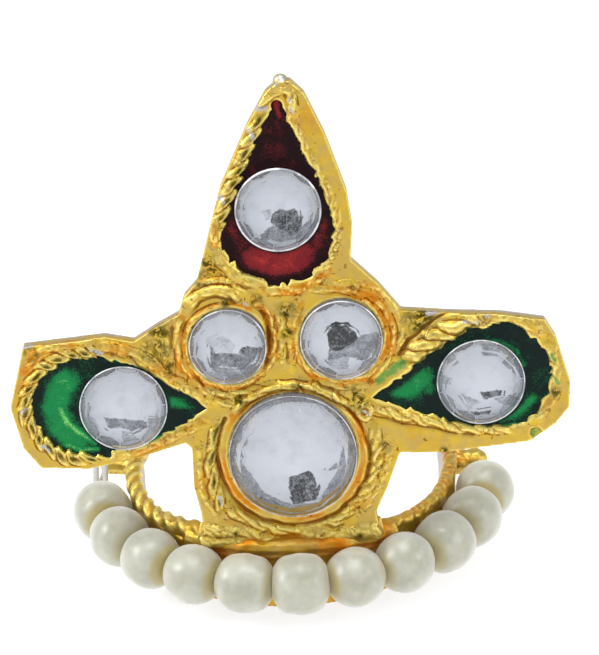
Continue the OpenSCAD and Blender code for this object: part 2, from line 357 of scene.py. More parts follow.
# Strands: half width, height and amber tone, on twisted ones also lobe length, slant and groove
# depth, and then the path
STRANDS = [
    # round the top drop
    ((0.36, 0.24, -0.1, 1.6, 1.2, 0.3), [(-1.2, 30.1), (-0.7, 30.8), (0.1, 31.2), (0.8, 31.55),
     (1.3, 31.3), (1.4, 30.5), (1.25, 29.5)]),
    ((0.3, 0.14, 0.4), [(-0.5, 31.3), (0.3, 31.8), (1.0, 31.9), (1.7, 31.4)]),
    ((0.46, 0.3, -0.1, 1.2, 1.1, 0.78), [(-0.7, 30.0), (-1.4, 28.6), (-2.05, 27.1), (-2.75, 25.4),
     (-3.4, 23.8), (-3.9, 22.5)]),
    ((0.3, 0.1, 0.1, 1.1, 1.6, 0.5), [(1.2, 29.7), (1.6, 28.6), (2.15, 27.4), (2.75, 26.2),
     (3.35, 24.9), (3.85, 23.6), (4.0, 22.3), (3.85, 21.1), (3.4, 19.9), (2.6, 19.0)]),
    ((0.26, 0.16, 0.8, 0.9, 1.5, 0.4), [(-4.2, 22.8), (-4.1, 21.7), (-3.9, 20.9)]),
    ((0.46, 0.2, -0.1, 1.9, 1.3, 0.25), [(-4.4, 21.3), (-4.0, 20.2), (-3.3, 19.4), (-2.4, 18.8),
     (-1.2, 18.3)]),
    ((0.28, 0.14, 0.6, 1.5, 1.2, 0.3), [(-1.2, 18.2), (0.0, 17.9), (1.2, 17.95), (2.3, 18.4),
     (3.1, 19.2)]),
    # round the left wing
    ((0.46, 0.34, 0.1, 0.95, 1.1, 0.75), [(-11.6, 14.3), (-12.8, 14.35), (-14.0, 14.15), (-15.2, 13.7),
     (-16.2, 13.0), (-16.9, 12.0), (-17.2, 11.0), (-17.25, 10.2), (-17.05, 9.3), (-16.6, 8.5),
     (-16.0, 7.75), (-15.1, 7.1), (-14.0, 6.75), (-12.6, 6.6)]),
    ((0.42, 0.18, 0.5, 1.9, 1.6, 0.3), [(-17.0, 13.1), (-16.2, 14.1), (-15.2, 14.65), (-13.8, 14.85),
     (-12.2, 14.8)]),
    ((0.46, 0.2, 0.25), [(-12.6, 14.6), (-11.2, 14.5), (-9.9, 14.0), (-8.8, 13.3), (-7.9, 12.5),
     (-7.2, 11.9), (-6.2, 11.3), (-5.2, 10.7)]),
    ((0.4, 0.14, 0.4), [(-11.4, 6.95), (-9.5, 7.3), (-8.0, 7.85), (-6.6, 8.5), (-5.5, 9.1)]),
    # round the right wing
    ((0.64, 0.44, -0.7, 1.35, 1.0, 0.5), [(7.9, 12.75), (8.8, 13.45), (9.9, 14.25), (11.0, 14.9),
     (12.1, 15.4), (13.2, 15.65)]),
    ((0.36, 0.12, 0.35, 1.6, 1.2, 0.3), [(13.6, 15.6), (15.2, 15.5), (16.6, 15.0), (17.4, 14.0)]),
    ((0.32, 0.12, 0.1, 1.2, 1.6, 0.35), [(17.5, 14.0), (17.95, 12.6), (18.1, 11.2), (17.9, 10.0),
     (17.3, 9.0), (16.4, 8.2)]),
    ((0.34, 0.22, 0.15, 1.3, 1.0, 0.45), [(5.6, 9.5), (6.6, 9.3), (7.8, 9.0), (9.2, 8.6), (10.6, 8.2),
     (12.0, 7.9), (13.6, 7.75), (15.2, 7.85)]),
    ((0.22, 0.18, 0.3), arc((5.25, 9.35), 0.46)),
    # round the left small stone
    ((0.46, 0.4, -0.7, 2.4, 1.6, 0.2), [(-6.3, 17.0), (-5.4, 17.8), (-4.3, 18.25), (-3.2, 18.1),
     (-2.3, 17.6)]),
    ((0.24, 0.2, 0.2), [(-5.6, 18.4), (-4.6, 18.85), (-3.5, 18.8), (-2.5, 18.4)]),
    ((0.24, 0.13, 0.95, 2.2, 1.3, 0.25), arc(LEFT_SMALL_STONE, 2.82, 60, 355)),
    ((0.36, 0.2, 0.65, 1.5, 1.4, 0.35), [(-6.5, 16.6), (-6.9, 15.6), (-6.9, 14.2), (-6.5, 12.9),
     (-5.8, 11.9)]),
    ((0.36, 0.16, 0.2, 1.3, 1.3, 0.4), [(-7.5, 16.3), (-7.8, 15.0), (-7.6, 13.6), (-6.9, 12.4)]),
    ((0.38, 0.18, 0.25, 1.4, 1.4, 0.45), [(-6.3, 12.1), (-5.2, 11.3), (-3.8, 10.95), (-2.2, 11.15),
     (-0.8, 11.4), (0.8, 11.35), (2.2, 11.1)]),
    ((0.3, 0.13, 0.1, 1.3, 1.3, 0.4), [(-5.6, 10.9), (-4.6, 10.4), (-3.4, 10.2), (-2.4, 10.6)]),
    # between the small stones
    ((0.3, 0.17, 0.7, 1.7, 1.3, 0.3), [(-1.9, 17.5), (-1.2, 16.9), (-0.7, 15.8), (-0.55, 14.5),
     (-0.75, 13.2), (-1.6, 12.1)]),
    ((0.3, 0.14, -0.1, 1.3, 1.3, 0.4), [(0.0, 17.3), (-0.1, 16.2), (0.1, 15.0), (-0.1, 13.6),
     (0.2, 12.6)]),
    ((0.28, 0.13, 0.2, 1.4, 1.3, 0.4), [(0.8, 17.3), (0.6, 16.2), (0.5, 15.0), (0.7, 13.8),
     (0.5, 12.4)]),
    ((0.28, 0.16, 0.7, 1.9, 1.4, 0.3), [(1.3, 17.0), (0.95, 16.0), (0.85, 15.0), (0.95, 13.8),
     (1.4, 12.7), (2.1, 11.8)]),
    # round the right small stone
    ((0.24, 0.12, 0.9, 2.4, 1.3, 0.25), arc(RIGHT_SMALL_STONE, 2.96, 150, 430)),
    ((0.34, 0.15, 0.5, 2.2, 1.4, 0.3), [(5.9, 17.4), (6.7, 16.5), (7.2, 15.4), (7.3, 14.2), (7.0, 13.0),
     (6.3, 12.0), (5.4, 11.5)]),
    ((0.3, 0.11, 0.2, 2.4, 1.4, 0.25), [(3.0, 18.1), (4.4, 18.4), (5.8, 18.1), (6.9, 17.2), (7.7, 15.9),
     (7.9, 14.6), (7.7, 13.4)]),
    ((0.28, 0.13, 0.4, 1.5, 1.3, 0.3), [(1.2, 17.8), (2.3, 18.0), (3.4, 17.9), (4.6, 17.8),
     (5.6, 17.4)]),
    ((0.3, 0.13, 0.3, 1.5, 1.3, 0.35), [(2.2, 11.7), (3.4, 11.3), (4.6, 11.1), (5.6, 11.4)]),
    # round the seat of the large stone
    ((0.3, 0.36, 0.3, 2.0, 1.3, 0.3), arc(CENTRE_STONE, 4.85, 38, 142)),
    ((0.42, 0.28, -0.2, 1.5, 1.0, 0.58), [(-4.5, 8.9), (-4.85, 7.6), (-5.05, 6.2), (-5.0, 4.8),
     (-4.7, 3.5), (-4.2, 2.6)]),
    ((0.24, 0.1, 0.1), [(-5.8, 7.6), (-5.9, 6.0), (-5.8, 4.4), (-5.4, 3.0), (-4.8, 2.0)]),
    ((0.36, 0.22, 0.1, 1.4, 1.3, 0.45), [(-4.2, 3.2), (-3.4, 2.3), (-2.2, 1.6), (-0.8, 1.2),
     (1.0, 1.15)]),
    ((0.42, 0.2, 0.15, 0.95, 1.6, 0.4), [(2.2, 1.4), (3.6, 2.1), (4.8, 3.2), (5.7, 4.8), (6.0, 6.4),
     (6.0, 7.8), (5.7, 8.8)]),
    ((0.3, 0.12, 0.1, 0.9, 1.4, 0.3), [(4.6, 2.2), (5.8, 3.7), (6.6, 5.4), (6.85, 6.9)]),
    ((0.5, 0.26, -0.3, 1.2, 1.2, 0.35), [(-6.9, 1.3), (-5.8, 1.35), (-4.8, 1.3), (-3.4, 1.1),
     (-1.6, 0.9)]),
    ((0.38, 0.16, -0.1, 1.3, 1.2, 0.2), [(-6.6, 0.5), (-4.5, 0.55), (-2.8, 0.4), (-0.6, 0.5)]),
    ((0.5, 0.2, -0.1, 1.5, 1.2, 0.25), [(0.4, 0.9), (2.0, 0.7), (3.6, 0.8), (5.2, 1.0), (6.3, 0.9),
     (7.0, 0.7)]),
]
# Grooves that the strands leave: half width, depth, path
GROOVES = [
    (0.12, 0.24, [(-4.0, 9.2), (-4.5, 7.9), (-4.68, 6.4), (-4.4, 4.9), (-3.8, 3.7), (-2.9, 2.7),
     (-1.8, 2.0), (-0.5, 1.6), (1.0, 1.55), (2.3, 1.9), (3.4, 2.5), (4.4, 3.4), (5.15, 4.6), (5.5, 5.8),
     (5.45, 7.0), (5.1, 8.1), (4.5, 9.2), (3.6, 10.1)]),
    (0.13, 0.26, [(7.7, 13.3), (8.3, 14.2), (9.2, 15.0), (10.2, 15.65), (11.2, 16.15)]),
    (0.3, 0.34, [(-1.35, 16.9), (-0.98, 15.9), (-0.88, 14.8), (-0.98, 13.6), (-1.35, 12.7)]),
    (0.07, 0.08, arc(LEFT_SMALL_STONE, 3.1, 100, 300)),
    (0.07, 0.08, arc(RIGHT_SMALL_STONE, 3.24, -60, 60)),
    (0.07, 0.08, [(6.2, 17.8), (7.1, 16.7), (7.55, 15.3), (7.55, 14.0), (7.1, 12.8)]),
    (0.06, 0.1, [(-5.7, 18.1), (-4.6, 18.6), (-3.4, 18.55), (-2.5, 18.0)]),
    (0.08, 0.1, [(5.9, 9.0), (7.2, 8.6), (8.8, 8.25), (10.6, 7.8), (12.4, 7.45)]),
    (0.07, 0.06, [(-10.6, 7.3), (-8.4, 7.95), (-6.2, 8.9)]),
    (0.05, 0.05, [(-12.4, 14.3), (-11.0, 14.1), (-9.6, 13.6), (-8.4, 12.6)]),
]
# Pebbled ground: place, radius
PEBBLED_GROUND = [
    ((0.4, 16.6), 0.75), ((0.4, 15.0), 0.5), ((-1.5, 17.3), 0.6), ((-8.4, 14.2), 1.1),
    ((-8.0, 15.3), 0.9), ((4.8, 10.3), 1.15), ((-3.0, 10.5), 0.6), ((9.2, 15.5), 1.45),
    ((-4.8, 19.6), 1.1), ((-5.1, 18.8), 0.6), ((-3.6, 1.0), 0.4), ((4.6, 0.6), 0.35),
    ((-7.4, 13.0), 0.6), ((-16.6, 14.2), 0.6), ((0.9, 11.5), 0.6), ((-3.6, 17.4), 0.5),
    ((10.4, 6.5), 0.4), ((17.9, 10.2), 0.5), ((6.6, 7.2), 0.6),
]
# Where the gilding has worn off to the white metal: half width, path
WORN = [
    (0.34, [(0.4, 32.2), (0.8, 32.3)]), (0.24, [(-0.9, 30.4), (-0.4, 30.3)]),
    (0.12, [(1.15, 30.9), (1.25, 30.0)]), (0.2, [(-1.6, 28.9), (-1.3, 28.4)]),
    (0.2, [(-3.6, 24.5), (-3.4, 24.2)]), (0.22, [(-17.2, 10.5), (-17.4, 10.2)]),
    (0.18, [(-16.2, 7.9), (-15.8, 7.5)]), (0.14, [(-12.6, 14.4), (-12.0, 14.1)]),
    (0.12, [(-17.0, 14.7), (-16.4, 14.8)]), (0.16, [(12.0, 15.4), (12.9, 15.35)]),
    (0.12, [(13.3, 15.75), (13.7, 15.65)]), (0.2, [(9.6, 16.1), (11.3, 16.2)]),
    (0.16, [(5.2, 9.45), (5.45, 9.25)]), (0.14, [(-4.6, 3.7), (-4.5, 3.2)]),
    (0.1, [(-2.4, 17.2), (-2.1, 17.0)]),
]
# Where green enamel was spilled: how far from a path, how strongly, path
SPILLED = [
    (0.6, 1.0, [(6.3, 11.5), (7.0, 12.1), (7.9, 12.7)]), (0.2, 1.0, [(17.7, 12.9), (17.9, 12.5)]),
    (0.2, 0.8, [(17.8, 11.4), (18.1, 10.9)]),
]
# Cells: outline, how far the casting's ragged edge bites into them, and how often
CELL_EDGES = [(TOP_CELL, 0.55, 1.3), (LEFT_CELL, 0.5, 1.0), (RIGHT_CELL, 0.5, 1.2)]
STONE_HOLES = [(CENTRE_STONE, 4.3), (LEFT_SMALL_STONE, 2.6), (RIGHT_SMALL_STONE, 2.75)]

rows = points_of(plate)
face_up = np.nonzero(rows[:, 2] > -RELIEF_DEPTH)[0]
flat = rows[face_up] * (1, 1, 0)
warped = wavering(flat, 1.2, 11.0, 17.0)
surface = np.zeros((len(LAYER), len(flat)))
surface[ACROSS], surface[ALONG] = warped[:, 1], warped[:, 0]


def sink(floor):
    """Lowers the face to a floor that lies below it."""
    surface[HEIGHT] = np.minimum(surface[HEIGHT], floor)


def lay(layer):
    """Lays a strand or a seat over what is there."""
    on_top = layer[HEIGHT] > surface[HEIGHT]
    surface[:, on_top] = layer[:, on_top]


shifts, bites = 1.1 * noise_at(flat, 1.5, 21.0), 0.55 + 1.1 * noise_at(flat, 1.2, 27.0)
crumbs = 0.09 * noise_at(flat, 0.45, 23.0)
for cell, bite, pitch in CELL_EDGES:
    outline = drop_outline(cell)
    along, _, inside, _ = beside(flat, outline, True)
    tooth = (along / pitch + shifts) % 1.0
    ragged = np.maximum(bite * (1 - tooth) ** 0.8 * step_up(tooth, 0.0, 0.15) * bites, 0) + crumbs
    ragged *= 0.3 + 0.7 * step_up(far(flat, cell[2]), 0.5, 3.0)
    inside = np.where(within(flat, outline), inside - ragged, 0)
    sink(CELL_FLOOR * step_up(inside, 0.0, 0.16))
# The red drop ends in a small round hollow
sink(CELL_FLOOR * step_up(0.4 - far(flat, (0.3, 30.45)), 0, 0.16))
for middle, r in STONE_HOLES:
    sink(BEZEL_FLOOR * fade(far(flat, middle), r - 0.03, r + 0.03))
ground = surface[HEIGHT] > -0.1

out = far(flat, CENTRE_STONE)
seat = np.zeros_like(surface)
on_seat = (out > SEAT_INSIDE) & (out < SEAT_R + 0.12 * noise_at(flat, 1.5, 15.0))
seat[HEIGHT] = np.where(on_seat, 0.03, NOTHING)
# The seat's orange is partly lacquer and partly a painted reflection of the gold round it
seat[AMBER] = 0.68 + 0.9 * noise_at(flat, 2.2, 19.0)
lay(seat)
for seed, (values, path) in enumerate(STRANDS):
    lay(strand(warped, seed, path, *values))
height, creased, worked, pebbled = (surface[i] for i in (HEIGHT, CREASED, WORKED, PEBBLED))
firm = np.clip(0.75 + 0.6 * noise_at(flat, 1.1, 3.0), 0, 1)
for half, depth, path in GROOVES:
    cut = np.exp(-(beside(warped, path, comes_round(path))[2] / half) ** 2) * firm * ground
    height -= depth * cut
    np.maximum(creased, cut, out=creased)
strewn = np.clip(0.85 + 1.4 * noise_at(flat, 0.6, 13.0), 0, 1)
for place, reach in PEBBLED_GROUND:
    patch = fade(far(warped, place), 0.3 * reach, 1.15 * reach) * strewn
    np.maximum(pebbled, patch * ground, out=pebbled)
grainy = np.nonzero(pebbled > 0)[0]
grains = np.array([noise.voronoi(Vector(row) / 0.42)[0][0] for row in flat[grainy].tolist()])
height[grainy] += pebbled[grainy] * 0.14 * (0.5 - grains)
fold = noise_at(warped, 0.9, 5.0) + 0.5 * noise_at(warped, 0.4, 9.0)
folds = np.exp(-(fold / 0.08) ** 2) * np.maximum(0.6 * worked, 0.1) * ground
height -= 0.06 * folds
np.maximum(creased, 0.6 * folds, out=creased)
height += (0.04 * noise_at(flat, 2.4, 1.0) + 0.012 * noise_at(flat, 0.7, 2.0)
           + 0.02 * noise_at(flat, 0.3, 4.0) * worked) * ground
out = far(flat, PIT)
height -= 0.12 * fade(out, 0.36, 0.46)
np.maximum(creased, 0.8 * np.exp(-((out - 0.42) / 0.07) ** 2), out=creased)
# The foot is let down a little into the solder, its corners further
height -= 0.4 * fade(flat[:, 1], -0.5, 0.5)
height -= 0.5 * step_up(np.abs(flat[:, 0] - 0.1), 5.6, 7.2) * fade(flat[:, 1], 0.6, 2.4)

# The height is full on the face and fades down the sides
rows[face_up, 2] += height * step_up(rows[face_up, 2], -RELIEF_DEPTH, -0.05)
everywhere = np.zeros((len(LAYER), len(rows)))
everywhere[AMBER] = -0.25
everywhere[:, face_up] = surface
set_points(plate, rows)
keep_values(plate, **dict(zip(LAYER[1:], everywhere[1:])))
apply_modifier(plate, "SMOOTH", factor=0.5, iterations=1)
# How far a point stands out drives a painted highlight, and how low it lies painted shade; near the
# foot more painted highlight is added
foot_highlight = 0.14 * fade(points_of(plate)[:, 1], 1.2, 3.0)
relief = 0.5 + foot_highlight + standing_out(plate, 5) / 0.1 + standing_out(plate, 24) / 0.5
keep_values(plate, relief=np.clip(relief, 0, 1))
thin_out(plate, PLATE_TRIANGLES)

place, facing = points_of(plate), points_of(plate, "normal")
side_up = step_up(1 - np.abs(facing[:, 2]), 0.55, 0.85) * step_up(facing[:, 1], 0.1, 0.5)
bare = side_up * fade(place[:, 2], -0.75, -0.35) * (0.75 + 0.4 * noise_at(place, 1.5, 8.0))
ragged = 1 + 0.9 * noise_at(place, 0.35, 6.0)
for half, path in WORN:
    patch = fade(beside(place, path)[2] * ragged, 0, 1.7 * half) * (place[:, 2] > -0.5)
    bare = np.maximum(bare, 0.8 * patch)
spill = 0.7 * fade(far(place, PIT), 0.3, 0.48)
for reach, strength, path in SPILLED:
    spill = np.maximum(spill, strength * fade(beside(place, path)[2], 0.05, reach))
keep_values(plate, bare=bare, spilled=spill * (place[:, 2] > -0.4))


def tint(code):
    """An sRGB hex colour turned to linear."""
    parts = [int(code[i:i + 2], 16) / 255 for i in (1, 3, 5)]
    return (*[p / 12.92 if p <= 0.04045 else ((p + 0.055) / 1.055) ** 2.4 for p in parts], 1)


def add_node(tree, kind, inputs=None, **settings):
    """Adds a node with its settings; an input is a value, a hex colour, or a socket to link."""
    made = tree.nodes.new("ShaderNode" + kind)
    for name, value in settings.items():
        setattr(made, name, value)
    for socket, value in (inputs or {}).items():
        if isinstance(value, bpy.types.NodeSocket):
            tree.links.new(value, made.inputs[socket])
        else:
            made.inputs[socket].default_value = tint(value) if isinstance(value, str) else value
    return made


def new_material(name):
    made = bpy.data.materials.new(name)
    made.use_nodes = True
    made.node_tree.nodes.clear()
    return made, made.node_tree


def coat(tree, inputs):
    """Gives a material its surface."""
    skin = add_node(tree, "BsdfPrincipled", inputs)
    add_node(tree, "OutputMaterial", {"Surface": skin.outputs[0]})


def kept_value(tree, name):
    return add_node(tree, "Attribute", attribute_name=name).outputs["Fac"]


def mottle(tree, size, detail=2, distortion=0.0):
    """Noise through the piece, with features of a size in millimetres."""
    where = add_node(tree, "TexCoord").outputs["Object"]
    made = add_node(tree, "TexNoise", {"Vector": where, "Scale": 1 / (size * MM),
                                       "Detail": detail, "Distortion": distortion})
    return made.outputs["Fac"]


def calc(tree, operation, first, second):
    return add_node(tree, "Math", {0: first, 1: second}, operation=operation).outputs[0]


def ramp(tree, value, low, high, to_low=0.0, to_high=1.0):
    made = add_node(tree, "MapRange",
                    {"Value": value, "From Min": low, "From Max": high,
                     "To Min": to_low, "To Max": to_high}, interpolation_type="SMOOTHSTEP")
    return made.outputs[0]


def mix_colour(tree, share, low, high):
    return add_node(tree, "Mix", {0: share, 6: low, 7: high}, data_type="RGBA").outputs[2]


def stain(tree, body, colour, value, low, high, most=1.0):
    """The body with a colour over it, from where a value is low to where it is high."""
    return mix_colour(tree, ramp(tree, value, low, high, 0, most), body, colour)


# Gilding over cast white metal: yellow and satin, with a painted highlight on what stands out and
# painted shade, olive among pebbles and brown elsewhere, in hollows and creases. An orange lacquer
# has run into seats and hollows, deepened there by a painted reflection of gold in gold. Fine
# strokes run over the worked strands, short brown creases wander over them, a greenish grime lies
# between pebbles, and bare metal shows where the gilding has worn.
GOLD = "#d6b344"
GOLD_PALE = "#caab59"
GOLD_AMBER = "#d4851f"
# The colour of the painted highlight on what stands out
GOLD_BRIGHT = "#f6e17e"
# The next two colours paint shade in hollows and creases; they also colour the brown lines, the dark
# specks and the grime between pebbles
CREASE = "#7c400e"
GRIME_AND_SHADE = "#3c380a"
BARE_METAL = "#bfbcbb"
SPILLED_GREEN = "#46954c"


def gilding(name):
    made, tree = new_material(name)
    relief, bare, pebbled, amber, creased, spilled, worked, across, along = (
        kept_value(tree, kept) for kept in ("relief", "bare", "pebbled", "amber", "creased",
                                            "spilled", "worked", "across", "along"))

    def plus(first, second):
        return calc(tree, "ADD", first, second)

    def times(first, second):
        return calc(tree, "MULTIPLY", first, second)

    def line(value, half):
        """One where a noise crosses its middle, fading to nought a little to each side."""
        off = calc(tree, "ABSOLUTE", calc(tree, "SUBTRACT", value, 0.5), 0)
        return ramp(tree, off, half, 0.2 * half)

    drift, blotch, speck = mottle(tree, 2.2, 3), mottle(tree, 0.8, 3), mottle(tree, 0.3, 4)
    lay = add_node(tree, "CombineXYZ", {"X": across, "Y": times(along, 0.35)}).outputs[0]
    strokes = add_node(tree, "TexNoise", {"Vector": lay, "Scale": 1 / 0.24, "Detail": 3})
    strokes = strokes.outputs["Fac"]
    curls = times(line(mottle(tree, 0.7, 1, 1.2), 0.045), ramp(tree, mottle(tree, 0.55), 0.48, 0.6))
    curls = times(curls, ramp(tree, worked, 0, 1, 0.1, 0.9))
    stroked = times(ramp(tree, strokes, 0.46, 0.34), ramp(tree, worked, 0.2, 1, 0, 0.5))
    uneven = ramp(tree, speck, 0.3, 0.7, -0.3, 0.3)
    # Amber where lacquer lies, deepened as a painted reflection of gold in gold in seats and hollows
    lacquer_and_reflection = plus(plus(amber, ramp(tree, drift, 0.35, 0.7, -0.3, 0.42)), times(uneven, 0.25))
    body = stain(tree, GOLD, GOLD_PALE, blotch, 0.35, 0.65)
    body = stain(tree, body, GOLD_AMBER, lacquer_and_reflection, 0.1, 1.0)
    # Painted highlight on what stands out
    body = stain(tree, body, GOLD_BRIGHT, plus(relief, times(uneven, 0.2)), 0.58, 0.95, 0.85)
    # Painted shade in hollows and creases, olive among pebbles and brown elsewhere, broken up by specks
    # and strokes
    hollow = plus(ramp(tree, relief, 0.4, 0.1), ramp(tree, creased, 0.35, 1.0, 0, 0.9))
    hollow = plus(plus(hollow, times(uneven, 0.6)), times(stroked, 0.4))
    shadow = mix_colour(tree, pebbled, CREASE, GRIME_AND_SHADE)
    body = stain(tree, body, shadow, hollow, 0.38, 1.05, 0.8)
    ink = stain(tree, CREASE, GRIME_AND_SHADE, blotch, 0.42, 0.58)
    body = mix_colour(tree, times(curls, 0.65), body, ink)
    # Small dark brown specks
    dark_specks = times(ramp(tree, mottle(tree, 0.3, 0), 0.24, 0.18), ramp(tree, drift, 0.4, 0.55))
    body = mix_colour(tree, times(dark_specks, 0.7), body, CREASE)
    dirt = ramp(tree, calc(tree, "SUBTRACT", speck, times(relief, 0.35)), 0.42, 0.3, 0, 0.95)
    body = mix_colour(tree, times(dirt, pebbled), body, GRIME_AND_SHADE)
    body = stain(tree, body, BARE_METAL, plus(bare, uneven), 0.25, 0.85, 0.9)
    body = stain(tree, body, SPILLED_GREEN, plus(spilled, times(uneven, 0.8)), 0.15, 1.0, 0.8)
    shine = plus(ramp(tree, drift, 0.3, 0.7, 0.42, 0.54), times(worked, -0.08))
    rough = times(strokes, ramp(tree, worked, 0, 1, 0, 0.6))
    rough = plus(rough, times(mottle(tree, 0.13, 3), 0.5))
    rough = calc(tree, "SUBTRACT", rough, times(curls, 0.7))
    bump = add_node(tree, "Bump", {"Height": rough, "Strength": 0.6, "Distance": 0.06 * MM})
    coat(tree, {"Base Color": body, "Metallic": 1.0, "Roughness": shine, "Normal": bump.outputs[0]})
    return made


gilded_casting = gilding("gilded_white_metal_casting")


def finish_piece(piece, material, nodes, place=STAND_UP, smooth=60):
    """Stands a piece in its place in metres, gives it its material, slot and body, and hides the CAD
    nodes it stands for.
    """
    settle(piece, Matrix.Scale(MM, 4) @ place)
    bpy.ops.object.shade_smooth_by_angle(angle=radians(smooth))
    piece.data.materials.clear()
    piece.data.materials.append(material)
    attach(piece, "root")
    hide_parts(*nodes)


finish_piece(plate, gilded_casting, ["crown_frame"], smooth=180)

# Head ring
# A plain band bent from gilded sheet, open at the back, with a twisted wire soldered along its
# top edge and a rounded lug near each end for the bead string. On the right the wire is finer and
# filed half away, and solder covers it at the plate's foot.
RING_R = 11.0
RING_H = 4.3
RING_WIRE_THICK = 1.3
FILED_WIRE_THICK = 1.0
WIRE_CORE_THICK = 0.98
RING_LOBE = 1.0
RING_LEFT_END = -108
RING_RIGHT_END = 106
RING_OUTER = 11.42
SHEET_INSIDE = 10.62
SHEET_TOP = 3.95
RING_TRIANGLES = 150000
EYE_LEFT = -103
EYE_RIGHT = 98
EYE_Z = 3.07
WIRE_STEP = 0.12
MERGE = (bpy.ops.mesh.remove_doubles, {"threshold": 0.001})


def even_steps(path, height):
    """The path raised by a height, with its points at even distances, and its length."""
    path = [Vector((p[0], p[1], p[2] if len(p) > 2 else 0.0)) for p in path]
    along = [0.0]
    for a, b in zip(path, path[1:]):
        along.append(along[-1] + (b - a).length)
    count = max(8, round(along[-1] / WIRE_STEP))
    wanted = [along[-1] * i / count for i in range(count + 1)]
    rows = [np.interp(wanted, along, [p[axis] for p in path]) for axis in range(3)]
    level = [Vector(p) for p in zip(*rows)]
    return [Vector((p.x, p.y, p.z + height)) for p in level], along[-1]


def curve_through(name, closed, *paths):
    line = bpy.data.curves.new(name, "CURVE")
    line.dimensions = "3D"
    for points in paths:
        spline = line.splines.new("POLY")
        spline.points.add(len(points) - 1)
        for knot, place in zip(spline.points, points):
            knot.co = (*place, 1)
        spline.use_cyclic_u = closed
    piece = bpy.data.objects.new(name, line)
    scene.collection.objects.link(piece)
    return piece


def as_mesh(piece, step):
    """Makes a mesh of a curve, runs one step on it, and turns its normals outwards."""
    pick(piece)
    bpy.ops.object.convert(target="MESH")
    piece = bpy.context.active_object
    on_whole(piece, step, (bpy.ops.mesh.normals_make_consistent, {"inside": False}))
    return piece


# Section across two strands laid side by side, one unit from edge to edge
strand_pair = curve_through(
    "strand_pair", True,
    [(0.5 * (0.5 + 0.5 * abs(cos(a))) * cos(a),
      0.5 * (0.5 + 0.5 * abs(cos(a))) * sin(a), 0)
     for a in (2 * pi * i / 20 for i in range(20))])


def twisted_wire(name, path, thick, lobe, height, wobble, end_taper):
    """Two strands twisted together, showing a lobe every so often along the path."""
    points, length = even_steps(path, height)
    wire = curve_through(name, False, points)
    wire.data.bevel_mode = "OBJECT"
    wire.data.bevel_object = strand_pair
    wire.data.twist_mode = "Z_UP"
    wire.data.use_fill_caps = True
    lobes = 2 * max(1, round(length / lobe / 2))
    knots = wire.data.splines[0].points
    for i, knot in enumerate(knots):
        knot.tilt = pi * lobes * (i / len(knots))
        knot.radius = thick * (1 + wobble * noise.noise(points[i] * 0.8))
        knot.radius *= min(1, end_taper + min(i, len(knots) - 1 - i) * WIRE_STEP / (2 * lobe))
    return as_mesh(wire, MERGE)


def smooth_wire(name, path, thick, height):
    wire = curve_through(name, False, even_steps(path, height)[0])
    wire.data.bevel_depth = thick / 2
    wire.data.bevel_resolution = 3
    wire.data.use_fill_caps = True
    return as_mesh(wire, MERGE)


def lump(r, place, flatten):
    bpy.ops.mesh.primitive_ico_sphere_add(subdivisions=2, radius=r, location=place)
    made = bpy.context.active_object
    made.scale.z = flatten
    return made


def rising(path, start, full, lift):
    """Lifts a path where it nears the plate's foot: start and full are angles from the front."""
    lifted = []
    for p in path:
        off = abs(degrees(atan2(p.x, -p.y)))
        share = min(1.0, max(0.0, (start - off) / (start - full)))
        lifted.append((p.x, p.y, lift * share * share * (3 - 2 * share)))
    return lifted


def lug(angle, thick, reach):
    """A rounded lug that stands out from the ring, in pieces: a bar, its end and its root."""
    turn = radians(angle - 90)
    out = Vector((cos(turn), sin(turn), 0))
    middle = Vector((0, 0, EYE_Z + 0.2))
    bar = [out * (RING_R + 0.1), out * (RING_R + 1.0), out * (reach - 0.4 * thick)]
    return [smooth_wire("lug_bar", bar, thick, middle.z),
            lump(0.5 * thick, out * (reach - 0.5 * thick) + middle, 1.0),
            lump(0.56 * thick, out * (RING_R + 0.7) + middle * 1.03, 0.9)]


def angles_of(rows):
    """Angle of each point round the ring in degrees, from the front."""
    return np.degrees(np.arctan2(rows[:, 0], -rows[:, 1]))


ring = copy_of_node("crown_frame", "ring", Matrix.Identity(4))
slice_off(ring, (0, 0, SHEET_TOP), (0, 0, 1))
bpy.ops.mesh.primitive_cylinder_add(vertices=160, radius=RING_OUTER, depth=20)
keep_in = bpy.context.active_object
apply_modifier(ring, "BOOLEAN", operation="INTERSECT", object=keep_in)
bpy.data.objects.remove(keep_in)
rows = points_of(ring)
out = far(rows, (0, 0))
inner = out < RING_R - 0.3
# The sheet is thinner still at its left end
thinned = SHEET_INSIDE + 0.43 * fade(angles_of(rows), -95, -80)
rows[inner, :2] *= (thinned / out)[inner, None]
set_points(ring, rows)
left_rope = rising(arc((0, 0), RING_R, RING_LEFT_END - 90, -116, 160), 62, 34, 0.55)
right_rope = rising(arc((0, 0), RING_R, -56, RING_RIGHT_END - 90, 160), 60, 34, 0.3)
foot_arc = rising(arc((0, 0), RING_R + 0.2, -128, -52), 0, 38, -0.3)
ring_parts = [
    ring,
    twisted_wire("wire_left", left_rope, RING_WIRE_THICK, 1.25 * RING_LOBE, RING_H, 0.06, 0.8),
    smooth_wire("core_left", left_rope, WIRE_CORE_THICK, RING_H),
    smooth_wire("wire_front", arc((0, 0), RING_R, -130, -50), 1.02, RING_H),
    twisted_wire("wire_right", right_rope, FILED_WIRE_THICK, RING_LOBE, RING_H, 0.1, 0.8),
    smooth_wire("core_right", right_rope, WIRE_CORE_THICK, RING_H),
    smooth_wire("foot_solder", foot_arc, 1.3, RING_H + 0.35),
]
ring_parts += [smooth_wire("under_wire", path, 0.9, RING_H - 0.3) for path in (left_rope, right_rope)]
ring_parts += lug(EYE_LEFT, 1.3, 13.95) + lug(EYE_RIGHT, 1.75, 13.9)
ring = join(ring_parts, "gilded_ring")
